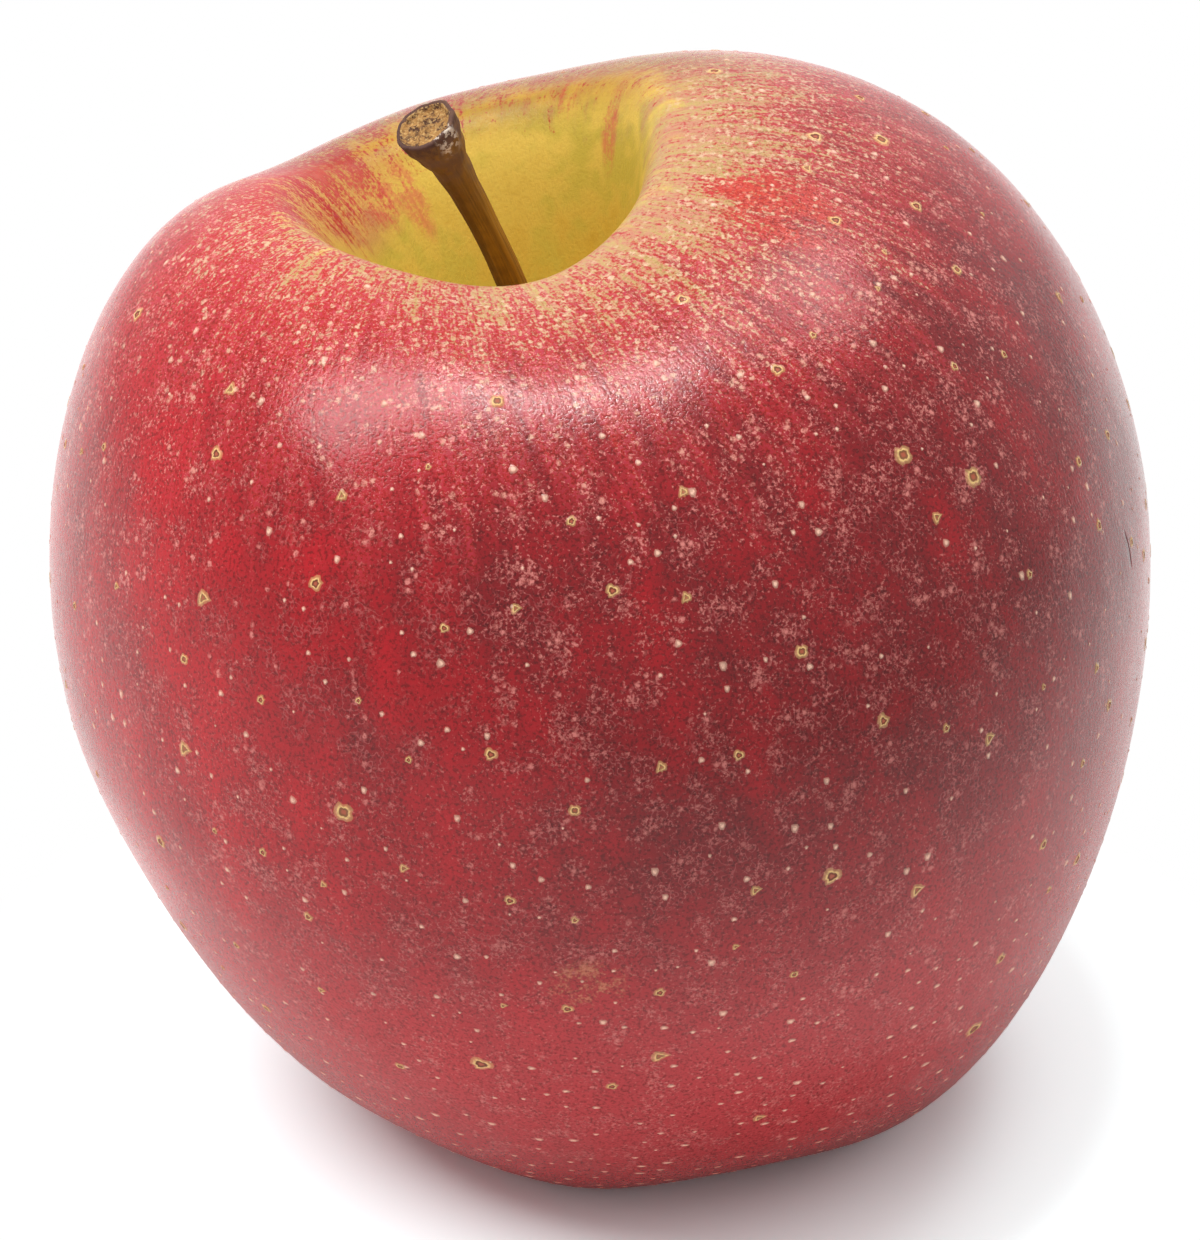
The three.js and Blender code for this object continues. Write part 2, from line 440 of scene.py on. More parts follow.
skinLook = {
    "tones": {
        "cavity": paint(218, 186, 82),
        "cavityGreen": paint(194, 172, 68),
        "cavityDeep": paint(192, 152, 48),
        "rimYellow": paint(180, 152, 98),
        "rimPink": paint(184, 122, 102),
        "lick": paint(206, 92, 78),
        "orange": paint(190, 60, 36),
        "scarlet": paint(188, 50, 38),
        "pink": paint(184, 54, 70),
        "crimson": paint(178, 25, 35),
        "maroon": paint(104, 20, 24),
        # painted light: a lighter red for the lower body, standing in for light thrown up from the floor
        "floorLitRed": paint(184, 56, 60),
        "cream": paint(214, 182, 148),
        "rose": paint(226, 142, 132),
        "web": paint(186, 102, 100),
        "pepper": paint(168, 98, 96),
        "russet": paint(190, 120, 84),
        "dotRim": paint(226, 190, 124),
        "dotPale": paint(234, 190, 164),
        "dotHeart": paint(106, 52, 32),
        "dotMiddle": paint(168, 84, 62),
        "scar": paint(84, 44, 46),
        # painted shade, laid over the far side of the rim
        "shade": paint(214, 194, 148),
        "blush": paint(194, 104, 94),
    },
    "lumps": {  # how large the lumps of each even noise are
        "patches": 9 * mm,
        "clumps": 2.2 * mm,
        "threads": 0.8 * mm,
        "crumbs": 0.6 * mm,
        "grain": 0.27 * mm,
        "pepper": 0.24 * mm,
    },
    "streaks": {  # how wide and how long the marks of each drawn-out noise are
        "bands": (6.0 * mm, 1.6 * mm),
        "broad": (4.0 * mm, 14 * mm),
        "fine": (1.3 * mm, 6 * mm),
        "dashes": (0.4 * mm, 0.9 * mm),
    },
    "towards": {  # the side of the apple that each of these leans to
        "yellow": radians(25),
        "dark": radians(-48),
        # the front right, where painted shade turns the red towards maroon
        "rim": radians(-60),
        "shade": radians(90),
    },
    "reaches": {  # how far that leaning moves a zone, in millimetres
        "yellow": 4.0,
        "rim": 2.5,
    },
    "zones": {  # where each change begins and ends, in millimetres from the crest, before noise moves it
        "cavityFloor": (-20.0, -6.0),
        "stippled": (-12.0, 0.0),
        "rim": (-5.5, 2.5),
        "waxy": (-5.0, 6.0),
        "farRim": (-5.0, -1.0),
        "farRimEnd": (3.0, 9.0),
        "rimPink": (-4.0, 2.0),
        "crumbs": (-3.0, 3.0),
        "peppered": (-3.0, 12.0),
        "firstRed": (-11.0, 13.0),
        "fullRed": (6.0, 24.0),
        "cream": (0.0, 10.0),
        "specks": (2.0, 12.0),
        "shoulder": (4.0, 24.0),
        "rose": (8.0, 22.0),
        "threads": (8.0, 22.0),
        "pinkCrumbs": (8.0, 24.0),
        "fewerSpecks": (12.0, 46.0),
        "fewerCrumbs": (20.0, 50.0),
        "belly": (40.0, 70.0),
        "basin": (98.0, 108.0),
    },
    "places": {  # degrees about the axis, millimetres from the crest, reach across and along
        "blush": (160, -2.0, 30.0, 7.5),
        # painted shade along the valley between two lobes on the front
        "grooveShade": (-61.5, 19.5, 1.1, 9.0),
        "tanCloud": (-95, 55.0, 3.6, 2.8),
        "orangePatch": (-20, 7.5, 9.0, 6.0),
        "deepPatch": (-118, 27.0, 18.0, 13.0),
        "scar": (-14, 43.7, 0.45, 1.5),
    },
    "licks": (  # places of the red marks down the cavity's walls
        (62, -1.6, 2.6, 3.0), (43, -4.8, 3.4, 4.0), (121, -5.6, 5.0, 4.0), (134, -4.0, 7.0, 4.0),
        (147, -1.8, 8.0, 3.6),
    ),
    "shares": {  # how strongly each colour is laid over what is under it
        "rim": 0.9,
        "blush": 0.85,
        "shoulder": 0.8,
        "belly": 0.75,
        "rimPink": 0.6,
        "rose": 0.9,
        "crumbs": 0.7,
        "lick": 0.65,
        "web": 0.4,
        "specks": 0.65,
        "pepper": 0.85,
        "russet": 0.6,
        "scar": 0.7,
        "halo": 0.35,
    },
    "surface": {
        "smoothest": 0.17,
        "roughInCavity": 0.3,
        "roughPepper": 0.1,
        "roughDots": 0.3,
        "pepperHeight": 0.03 * mm,
        "dashHeight": 0.02 * mm,
        "scarDepth": 0.15 * mm,
        "bend": 1.38,
    },
}


def skinMaterial(look):
    tone, zone, place, share = (look[part] for part in ("tones", "zones", "places", "shares"))
    surface = look["surface"]
    material, wire = startMaterial("waxySkin")
    here = wire.make("ShaderNodeTexCoord").other("Object")
    east, north, down = carried(wire, "grown", "Vector").parts()
    ring = carried(wire, "ring")
    depth = carried(wire, "depth")
    crown = down / mm

    def facing(angle):  # 1 where the skin faces that way about the axis, -1 opposite
        return east * cos(angle) + north * sin(angle)

    def streaks(name, detail=1.0):  # noise drawn out along the meridians
        across, along = look["streaks"][name]
        turn = bodySizes["Girth Radius"] / across
        return cloud(vector(east * turn, north * turn, down / along), 1.0, detail)

    def near(degrees, away, across, along):  # 1 at a place on the skin, 0 past that reach
        angle = radians(degrees)
        turn = bodySizes["Girth Radius"] / mm / across
        aside = (north * cos(angle) - east * sin(angle)) * turn
        drop = (crown - away) / along
        return (1 - step(aside * aside + drop * drop, 0.15, 1.0)) * step(facing(angle), 0.0, 0.3)

    patches = cloud(here, look["lumps"]["patches"])
    clumps = cloud(here, look["lumps"]["clumps"], 2.0, 0.6)
    grain = cloud(here, look["lumps"]["grain"], 3.0, 0.62)
    pepper = cloud(here, look["lumps"]["pepper"], 2.0, 0.62)
    crumbs = here.make("ShaderNodeTexVoronoi", None, {"Vector": here, "Scale": 1 / look["lumps"]["crumbs"]})
    broad = streaks("broad", 2.0)
    fine = streaks("fine")
    bands = streaks("bands")
    dashes = streaks("dashes")

    # the ground colour that the red grows over
    mottle = patches * 0.45 + bands * 0.3 + clumps * 0.25
    ground = mix(step(mottle, 0.42, 0.58), tone["cavity"], tone["cavityGreen"])
    ground = mix(1 - step(crown + sway(mottle, 30), *zone["cavityFloor"]), ground, tone["cavityDeep"])
    rim = crown + sway(fine, 3) + sway(broad, 6) + sway(mottle, 20)
    rim = step(rim + facing(look["towards"]["rim"]) * look["reaches"]["rim"], *zone["rim"])
    streaked = step(fine * 0.7 + dashes * 0.3 + sway(grain, 0.5), 0.38, 0.60)
    ground = mix(rim * share["rim"], ground, mix(streaked, tone["rimYellow"], tone["rimPink"]))
    blush = near(*place["blush"])
    blushed = blush * (0.5 + 0.5 * step(mottle, 0.44, 0.54)) * share["blush"]
    ground = mix(blushed, ground, tone["blush"])

    # how far the red has taken over, from the edge of the cavity down the cheek
    edge = crown - look["reaches"]["yellow"] * facing(look["towards"]["yellow"])
    edge = edge + sway(broad, 16) + sway(fine, 12) + sway(clumps, 12)
    basin = step(crown + sway(fine, 20), *zone["basin"])
    orangePatch = near(*place["orangePatch"]) * step(broad * 0.5 + clumps * 0.5, 0.36, 0.58)
    deepPatch = near(*place["deepPatch"])
    cover = step(edge, *zone["firstRed"]) * 0.68 + step(edge, *zone["fullRed"]) * 0.26
    cover = cover - basin * 0.7 + orangePatch * 0.18 + blush * 0.18
    stipple = (sway(grain, 1.6) + sway(dashes, 0.8)) * step(crown, *zone["stippled"])
    taken = step(cover + stipple, 0.20, 0.64)

    # the reds
    # darker maroon in noisy patches, the red's own uneven tone, and towards the front right, painted shade
    # on the side turned from the main lamp
    dark = 0.22 + deepPatch * 0.06 + 0.6 * step(facing(look["towards"]["dark"]), 0.0, 1.0)
    dark = dark + sway(patches, 1.0) + sway(broad, 0.8) + sway(clumps, 0.8)
    # painted shade: a dark line down the valley between two front lobes
    dark = dark + near(*place["grooveShade"]) * 0.3
    red = mix(dark.calc("MINIMUM", dark, 0.9), tone["crimson"], tone["maroon"])
    high = 1 - step(crown + sway(fine, 30), *zone["shoulder"])
    high = high * share["shoulder"]
    red = mix(high, red, mix(step(pepper, 0.45, 0.6), tone["scarlet"], tone["pink"]))
    # painted light: the lower body turns to a lighter red, standing in for light thrown up from the pale
    # floor
    red = mix(step(crown, *zone["belly"]) * share["belly"], red, tone["floorLitRed"])
    red = mix(orangePatch * (0.2 + 0.6 * step(pepper, 0.42, 0.56)), red, tone["orange"])
    bare = mix(step(edge, *zone["cream"]), ground, tone["cream"])
    pinked = step(pepper, 0.44, 0.62) * step(crown, *zone["rimPink"])
    bare = mix(pinked * share["rimPink"], bare, tone["rimPink"])
    bare = mix(step(edge, *zone["rose"]) * share["rose"], bare, tone["rose"])
    colour = mix(taken, bare, red)

    # pale crumbs of skin, gathered in clumps, fewer where the red is full
    chance = crumbs.other("Color").parts()[0]
    shown = step(chance - cover + sway(clumps, 2.4), -0.05, 0.15) * step(crown, *zone["crumbs"])
    shown = shown * (share["crumbs"] - 0.3 * step(crown, *zone["fewerCrumbs"]))
    crumb = 1 - step(crumbs + sway(grain, 1.3) + (1 - chance) * 0.12, 0.18, 0.50)
    crumbTone = mix(step(crown, *zone["pinkCrumbs"]), tone["cream"], tone["rose"])
    colour = mix(crumb * shown, colour, crumbTone)

    # red marks down the walls of the cavity
    lick = near(*look["licks"][0])
    for mark in look["licks"][1:]:
        lick = lick + near(*mark)
    licked = step(fine * 0.4 + clumps * 0.6 + sway(grain, 0.5), 0.38, 0.60)
    colour = mix(lick * licked * share["lick"], colour, tone["lick"])

    # a thread-like network in clumps over the cheeks, then light and dark grains over all
    threads = cloud(here, look["lumps"]["threads"], 1.0, 0.7)
    thread = (1 - step(abs(threads - 0.5), 0.0, 0.04)) * step(clumps + patches, 0.94, 1.14)
    colour = mix(thread * step(crown, *zone["threads"]) * share["web"], colour, tone["web"])
    speck = step(grain + sway(clumps, 0.4), 0.55, 0.69) * step(edge, *zone["specks"])
    speck = speck * (share["specks"] - 0.35 * step(crown, *zone["fewerSpecks"]) - 0.35 * deepPatch)
    colour = mix(speck, colour, tone["rose"])
    peppered = step(pepper, 0.54, 0.32) * share["pepper"] * (0.12 + 0.88 * step(crown, *zone["peppered"]))
    colour = mix(peppered, colour, tone["pepper"], "MULTIPLY")

    # a tan cloud low on the front, painted shade over the far side of the rim, and a small healed split
    tanCloud = near(*place["tanCloud"]) * step(grain + clumps, 0.9, 1.2)
    colour = mix(tanCloud * share["russet"], colour, tone["russet"])
    # painted shade: the colour is multiplied darker over the far side of the rim, behind the cavity
    far = step(facing(look["towards"]["shade"]), 0.2, 0.8) * step(crown, *zone["farRim"])
    far = far * (1 - step(crown, *zone["farRimEnd"]))
    colour = mix(far, colour, tone["shade"], "MULTIPLY")
    scar = near(*place["scar"])
    colour = mix(scar * share["scar"], colour, tone["scar"])

    # dots: a faint halo, a corky pale rim, and a brown heart in the open ones
    corky = mix(step(depth, 0.0, 0.25), tone["dotPale"], tone["dotRim"])
    colour = mix(step(ring, 0.0, 0.3) * share["halo"], colour, corky)
    colour = mix(step(ring, 0.34, 0.54) * (0.4 + 0.5 * step(pepper, 0.38, 0.56)), colour, corky)
    colour = mix(step(ring, 0.58, 0.76) * depth, colour, tone["dotHeart"])
    colour = mix(step(ring, 1.05, 1.25) * depth, colour, tone["dotMiddle"])

    rough = surface["smoothest"] + surface["roughInCavity"] * (1 - step(crown, *zone["waxy"]))
    rough = rough + surface["roughPepper"] * step(pepper, 0.4, 0.6)
    rough = rough + surface["roughDots"] * step(ring, 0.3, 0.5)
    relief = pepper * surface["pepperHeight"] + dashes * surface["dashHeight"] - scar * surface["scarDepth"]
    finishMaterial(wire, colour, rough, relief, {"IOR": surface["bend"]})
    return material


def makeSkin(material):
    lengths = outlineLengths()
    total = sum(lengths)
    sizes = {**bodySizes, **growthSizes, **skinSizes}
    sizes["Crest Share"] = 1 - lengths[-1] / total  # how far along the outline the crest is
    sizes["Outline Length"] = total
    sizes["Outline"] = makeOutline()
    sizes["Material"] = material
    skin = growPiece("skin", skinTree(sizes), sizes)
    bpy.data.objects.remove(sizes["Outline"])
    low, high = corners("fruit")
    centre = sum((Vector(corner) for corner in skin.bound_box), Vector()) / 8
    skin.data.transform(Matrix.Translation(((low + high) / 2 - centre) * Vector((1, 1, 0))))
    return skin


# The skin's dots: small corky scars where the skin breathes, scattered over the finished skin

dotFades = {
    "Top Fade": 6 * mm,  # how softly the dots thin out at their highest and lowest
    "Bottom Fade": 8 * mm,
    "Low From": 45 * mm,  # where the dots of the lower cheek begin and are full, from the crest
    "Low To": 85 * mm,
}
dotSeed = 3
openDots = {
    "Spacing": 4.0 * mm,
    "Density": 22000.0,
    "Seed": 4,
    "Smallest": 0.4,
    "Largest": 1.0,
    "Top": 9.0 * mm,
    "Bottom": 70.0 * mm,
    "Low Gain": 0.0,
    "Squash": 0.2,
    **dotFades,
}
paleDots = {
    "Spacing": 1.5 * mm,
    "Density": 90000.0,
    "Seed": 11,
    "Smallest": 0.5,
    "Largest": 1.15,
    "Top": 4.0 * mm,
    "Bottom": 104.0 * mm,
    "Low Gain": 1.6,
    "Squash": 0.55,
    **dotFades,
}
openShape = {
    "around": 15,
    "radius": (0.42, 0.56),  # smallest and largest, in millimetres
    "rings": (  # share of the radius, mark, and height in millimetres
        (1.8, 0.0, -0.02), (1.2, 0.26, 0.015), (0.96, 0.52, 0.045), (0.78, 0.6, 0.045), (0.58, 0.95, 0.02),
        (0.32, 1.2, 0.02),
    ),
    "kinds": ((3, 1.0), (5, 0.9), (3, 0.8), (6, 1.0), (3, 0.7), (5, 1.0)),  # corners, and how open it is
    "uneven": (0.76, 1.24),
    "angular": 0.75,
    "heartMark": 0.05,
}
paleShape = {
    "around": 9,
    "radius": (0.15, 0.27),
    "rings": ((1.6, 0.0, -0.02), (1.0, 0.3, 0.02), (0.5, 0.52, 0.035)),
    "kinds": ((0, 0.0),) * 4,  # round, with no heart
    "uneven": (0.76, 1.24),
    "angular": 0.75,
    "heartMark": 0.05,
}


def dotShape(name, size, sides, depth, draw):  # one dot, flat in x and y
    rings, around = size["rings"], size["around"]
    points, ringMarks, lifts = [], [], []
    radius = draw.uniform(*size["radius"]) * mm
    lean = [draw.uniform(*size["uneven"]) for _ in range(around)]
    spin = draw.uniform(0, tau)
    for share, mark, lift in rings:
        for index in range(around):
            angle = tau * index / around
            corner = tau / sides if sides else tau
            edge = cos(corner / 2) / cos(angle % corner - corner / 2) if sides else 1
            angular = min(1, 2 - share) * size["angular"]
            reach = radius * share * (edge * angular + 1 - angular) * lean[index]
            points.append((reach * cos(angle + spin), reach * sin(angle + spin), 0))
            ringMarks.append(mark)
            lifts.append(lift * mm)
    points.append((0, 0, 0))
    ringMarks.append(rings[-1][1] + size["heartMark"])
    lifts.append(rings[-1][2] * mm)
    faces = ringFaces(len(rings), around)
    last = (len(rings) - 1) * around
    faces += [(last + index, last + (index + 1) % around, len(points) - 1) for index in range(around)]
    mesh = bpy.data.meshes.new(name)
    mesh.from_pydata(points, [], faces)
    for label, values in (("ring", ringMarks), ("lift", lifts), ("depth", [depth] * len(points))):
        layer = mesh.attributes.new(label, "FLOAT", "POINT")
        layer.data.foreach_set("value", values)
    return bpy.data.objects.new(name, mesh)


def dotShapes(name, size, draw):
    return [dotShape(f"{name}{index}", size, sides, depth, draw)
            for index, (sides, depth) in enumerate(size["kinds"])]


def dotsTree(sizes):
    given, size = startTree("dots", sizes)
    skin = given.make("GeometryNodeObjectInfo", None, {"Object": size["Skin"]}).other("Geometry")
    grown = given.make("GeometryNodeInputNamedAttribute", {"data_type": "FLOAT_VECTOR"}, {"Name": "grown"})
    down = grown.parts()[2]
    top, topFade = size["Top"], size["Top Fade"]
    bottom, bottomFade = size["Bottom"], size["Bottom Fade"]
    share = step(down, top - topFade, top + topFade)
    share = share * (1 - step(down, bottom - bottomFade, bottom + bottomFade))
    low = step(down, size["Low From"], size["Low To"])
    share = share * (1 + low * size["Low Gain"]) / (1 + size["Low Gain"])
    points = skin.make("GeometryNodeDistributePointsOnFaces", {"distribute_method": "POISSON"}, {
        "Mesh": skin,
        "Distance Min": size["Spacing"],
        "Density Max": size["Density"] * (1 + size["Low Gain"]),
        "Density Factor": share,
        "Seed": size["Seed"],
    })
    facing = points.make("FunctionNodeAlignRotationToVector", {"axis": "Z"}, {
        "Vector": points.other("Normal")})
    upright = facing.make("FunctionNodeAlignRotationToVector", {"axis": "Y", "pivot_axis": "Z"}, {
        "Rotation": facing, "Vector": (0.0, 0.0, 1.0)})
    scale = given.make("FunctionNodeRandomValue", {"data_type": "FLOAT"}, {
        2: size["Smallest"], 3: size["Largest"], "Seed": size["Seed"] + 1}, output=1)
    flat = low * size["Squash"]
    stretch = vector(scale * (1 + flat), scale * (1 - flat * 0.6), 1.0)
    shapes = given.make("GeometryNodeCollectionInfo", None, {
        "Collection": size["Shapes"], "Separate Children": True, "Reset Children": True})
    placed = points.make("GeometryNodeInstanceOnPoints", None, {
        "Points": points,
        "Instance": shapes,
        "Pick Instance": True,
        "Rotation": upright,
        "Scale": stretch,
    })
    real = placed.make("GeometryNodeRealizeInstances", None, {"Geometry": placed})

    # each point of a dot is laid on the skin, at its own small height, and never below the ground
    def onSkin(value):
        settings = {"data_type": "FLOAT_VECTOR"}
        return skin.make("GeometryNodeSampleNearestSurface", settings, {"Mesh": skin, "Value": value})

    foot = onSkin(given.make("GeometryNodeInputPosition"))
    normal = onSkin(given.make("GeometryNodeInputNormal"))
    lift = given.make("GeometryNodeInputNamedAttribute", {"data_type": "FLOAT"}, {"Name": "lift"})
    raised = normal.make("ShaderNodeVectorMath", {"operation": "SCALE"}, {0: normal, "Scale": lift})
    above = foot.make("ShaderNodeVectorMath", {"operation": "ADD"}, {0: foot, 1: raised})
    east, north, height = above.parts()
    place = vector(east, north, height.calc("MAXIMUM", height, 0.0))
    laid = real.make("GeometryNodeSetPosition", None, {"Geometry": real, "Position": place})
    settings = {"data_type": "FLOAT_VECTOR", "domain": "POINT"}
    named = laid.make("GeometryNodeStoreNamedAttribute", settings, {
        "Geometry": laid, "Name": "grown", "Value": onSkin(grown)})
    return finishTree(named, size["Material"])


def makeDots(name, skin, material, sizes, shapes):
    collection = bpy.data.collections.new(name + "Shapes")
    for shape in shapes:
        collection.objects.link(shape)
    given = {**sizes, "Skin": skin, "Shapes": collection, "Material": material}
    dots = growPiece(name, dotsTree(given), given)
    for shape in shapes:
        bpy.data.objects.remove(shape)
    bpy.data.collections.remove(collection)
    return dots


# The stem: a woody stalk with lengthwise ridges, flared where it broke from the tree

stemSizes = {
    "rootIn": Vector((-1.0, -1.32, 0.23)) * mm,
    "tipIn": Vector((1.98, 2.05, -1.3)) * mm,
    "elbow": Vector((-2.5, 0.6, 14.6)) * mm,
    "around": 96,
    "along": 240,
    "radii": (
        (0.0, 1.25), (0.05, 1.28), (0.11, 1.2), (0.18, 1.1), (0.3, 1.05), (0.45, 1.03), (0.6, 1.02),
        (0.7, 1.04), (0.8, 1.12), (0.88, 1.36), (0.94, 1.9), (0.975, 2.22), (1.0, 2.28),
    ),
    "endFace": (
        (0.97, 0.10), (0.9, 0.12), (0.84, 0.02), (0.79, -0.2), (0.72, -0.3), (0.6, -0.24), (0.48, -0.34),
        (0.36, -0.22), (0.24, -0.36), (0.12, -0.3), (0.0, -0.32),
    ),
    "ridge": 0.08,
    "crumble": 0.2 * mm,
    "crumbleSize": 0.55 * mm,
    "faceShare": 0.86,  # how far out the torn wood reaches over the end
}
stemLook = {
    # the stalk's painted shade and painted light, for its darker and lighter sides
    "shade": paint(98, 64, 24),
    "litSide": paint(168, 118, 40),
    "head": paint(112, 80, 60),
    "rim": paint(70, 44, 42),
    "face": paint(162, 118, 66),
    "crumb": paint(210, 172, 112),
    "crack": paint(72, 42, 26),
    "torn": paint(226, 208, 188),
    "mottleSize": 1.1 * mm,
    "crumbSize": 0.5 * mm,
    "fleckSize": 0.2 * mm,
    "fibreHeight": 0.1 * mm,
    "crumbHeight": 0.03 * mm,
    "tornHeight": 0.3 * mm,
    "bend": 1.4,
}


def between(knots, share):  # a smooth value between (share, value) knots
    for (low, first), (high, second) in zip(knots, knots[1:]):
        if share <= high:
            return first + (second - first) * smooth((share - low) / (high - low))
    return knots[-1][1]


def stemMaterial(look):
    material, wire = startMaterial("woodyStem")
    here = wire.make("ShaderNodeTexCoord").other("Object")
    east, north, share = carried(wire, "grown", "Vector").parts()
    face = carried(wire, "face")
    fibres = cloud(vector(east * 5, north * 5, share * 5), 1.0, 3.0, 0.6)
    mottle = cloud(here, look["mottleSize"], 3.0)
    # painted light and shade: one side of the stalk lighter, the other darker, broken up by the fibres
    side = step(east * -0.8 + north * 0.25 + sway(mottle, 1.4) - share * 0.3, -0.9, 0.6)
    bark = mix(side * (0.5 + 0.5 * step(fibres, 0.35, 0.65)), look["shade"], look["litSide"])
    bark = mix(step(share, 0.72, 0.95) * (0.4 + 0.6 * step(mottle, 0.4, 0.6)), bark, look["head"])
    crumbs = cloud(here, look["crumbSize"], 3.0, 0.65)
    bark = mix(step(share + sway(crumbs, 0.1), 0.95, 1.0) * 0.8, bark, look["rim"])
    torn = step(east * -0.6 + north * 0.8, 0.88, 0.99) * step(share, 0.93, 0.96)
    bark = mix(torn * step(crumbs, 0.46, 0.56) * 0.9, bark, look["torn"])
    wood = mix(step(crumbs * 0.6 + mottle * 0.4, 0.43, 0.55), look["crack"], look["face"])
    wood = mix(step(cloud(here, look["fleckSize"]), 0.5, 0.64) * 0.5, wood, look["crumb"])
    colour = mix(step(face, 0.4, 0.6), bark, wood)
    relief = fibres * look["fibreHeight"] + crumbs * look["crumbHeight"] + crumbs * face * look["tornHeight"]
    finishMaterial(wire, colour, 0.6 + 0.2 * mottle, relief, {"IOR": look["bend"]})
    return material


def makeStem(size, material):
    low, high = corners("stem")
    root = Vector((high.x, high.y, low.z)) + size["rootIn"]
    tip = Vector((low.x, low.y, high.z)) + size["tipIn"]
    elbow = root + size["elbow"]
    around, along = size["around"], size["along"]
    turns = [tau * index / around for index in range(around)]
    rings, grown, face = [], [], []

    def ridges(turn, share, perTurn, perLength):  # noise drawn out along the stem
        return noise.noise(Vector((cos(turn) * perTurn, sin(turn) * perTurn, share * perLength)))

    def addRing(centre, tangent, radius, share, isFace, rise):
        side = tangent.cross(Vector((0, 1, 0))).normalized()
        front = tangent.cross(side)
        ring = []
        for turn in turns:
            ridge = 1 + size["ridge"] * ridges(turn, share, 2.3, 5)
            ridge += size["ridge"] * 0.4 * ridges(turn, share, 6, 11)
            out = (side * cos(turn) + front * sin(turn)) * radius * ridge
            rough = noise.noise((centre + out) / size["crumbleSize"]) * size["crumble"] * isFace
            ring.append(centre + out + tangent * (rise + rough))
            grown.append((cos(turn), sin(turn), share))
            face.append(float(isFace))
        rings.append(ring)

    startTangent = (elbow - root).normalized()
    addRing(root, startTangent, 0.0, 0.0, 0, 0)
    for row in range(along + 1):
        share = row / along
        centre = root * (1 - share) ** 2 + elbow * 2 * share * (1 - share) + tip * share ** 2
        tangent = ((elbow - root) * (1 - share) + (tip - elbow) * share).normalized()
        addRing(centre, tangent, between(size["radii"], share) * mm, share, 0, 0)
    tipRadius = size["radii"][-1][1] * mm
    for reach, rise in size["endFace"]:
        onFace = 1.0 if reach < size["faceShare"] else 0.0
        addRing(tip, tangent, tipRadius * reach, 1.0, onFace, rise * mm)
    return loft("stalk", rings, material, {"grown": grown, "face": face})


# The dried flower in the basin: five leaves about a tuft

sepalSizes = {
    "count": 5,
    "length": 7.4 * mm,
    "width": 2.7 * mm,
    "thickness": 0.22 * mm,
    "ring": 2.4 * mm,
    "drawnIn": 0.35 * mm,
    "curl": 3.9 * mm,
    "along": 34,
    "across": 12,
    "cup": 0.28 * mm,
    "fold": 0.1 * mm,
    "crinkle": 0.25 * mm,
    "sag": 0.2 * mm,
    "firstSeed": 20,
}
tuftSizes = {
    "Count": 22,
    "Spread": 0.75 * mm,
    "Length": 4.2 * mm,
    "Thickness": 0.09 * mm,
    "Head": 0.2 * mm,
    "Lean": 0.22,
    "Seed": 7,
}
driedLook = {
    "leaf": paint(112, 88, 62),
    "leafDark": paint(62, 44, 32),
    "down": paint(170, 156, 132),
    "tuft": paint(70, 46, 30),
    "tuftLight": paint(128, 92, 56),
    "lumpSize": 1.2 * mm,
    "fuzzSize": 0.22 * mm,
    "fuzzDrawn": 0.35,  # lower draws the fuzz out in height
    "lumpHeight": 0.1 * mm,
    "fuzzHeight": 0.06 * mm,
    "bend": 1.4,
    "sheen": 0.2,
}


def driedMaterial(name, dark, light, look):
    material, wire = startMaterial(name)
    here = wire.make("ShaderNodeTexCoord").other("Object")
    lumps = cloud(here, look["lumpSize"], 3.0, 0.6)
    colour = mix(step(lumps, 0.38, 0.62), dark, light)
    east, north, height = here.parts()
    drawnOut = vector(east, north, height * look["fuzzDrawn"])
    fuzz = cloud(drawnOut, look["fuzzSize"], 3.0, 0.7)
    colour = mix(step(fuzz, 0.56, 0.7) * 0.6, colour, look["down"])
    relief = fuzz * look["fuzzHeight"] + lumps * look["lumpHeight"]
    constants = {"IOR": look["bend"], "Sheen Weight": look["sheen"]}
    finishMaterial(wire, colour, 0.8 + 0.15 * lumps, relief, constants)
    return material


def makeSepal(index, centre, size, material):
    draw = Random(size["firstSeed"] + index)
    yaw = growthSizes["Lobe Towards"] + tau * index / size["count"]
    twist = draw.uniform(-0.5, 0.5)
    curlGain = draw.uniform(0.85, 1.1)
    rings = []
    for row in range(size["along"] + 1):
        share = row / size["along"]
        out = size["ring"] - size["drawnIn"] * sin(pi * min(1, 2 * share))
        out += size["curl"] * smooth((share - 0.45) / 0.9) * curlGain
        halfWidth = size["width"] / 2 * (0.72 + 0.9 * share) * (1 - share ** 2.2) ** 0.8
        halfThick = size["thickness"] / 2 * (1 - 0.6 * share)
        ring = []
        for spot in range(2 * size["across"]):  # across one side of the leaf, and back along the other
            outer = spot < size["across"]
            turned = 2 * spot / size["across"]
            place = -1 + turned if outer else 3 - turned
            face = 1 if outer else -1
            cup = size["cup"] * place * place + size["fold"] * cos(3 * pi * place)
            bend = noise.noise(Vector((place * 1.3, share * 4.5, index * 7.1))) * size["crinkle"] * 2 * share
            edge = (1 - abs(place) ** 4) ** 0.5 if abs(place) < 1 else 0
            x = out + face * halfThick * edge - cup + bend
            y = place * halfWidth + twist * mm * share * share
            sag = noise.noise(Vector((place * 2, share * 3, index * 3.3))) * size["sag"] * share
            z = -share * size["length"] + sag
            ring.append(centre + Matrix.Rotation(yaw, 3, "Z") @ Vector((x, y, z)))
        rings.append(ring)
    rings.insert(0, [sum(rings[0], Vector()) / len(rings[0])] * len(rings[0]))
    rings.append([sum(rings[-1], Vector()) / len(rings[-1])] * len(rings[-1]))
    return loft(f"driedSepal{index + 1}", rings, material)


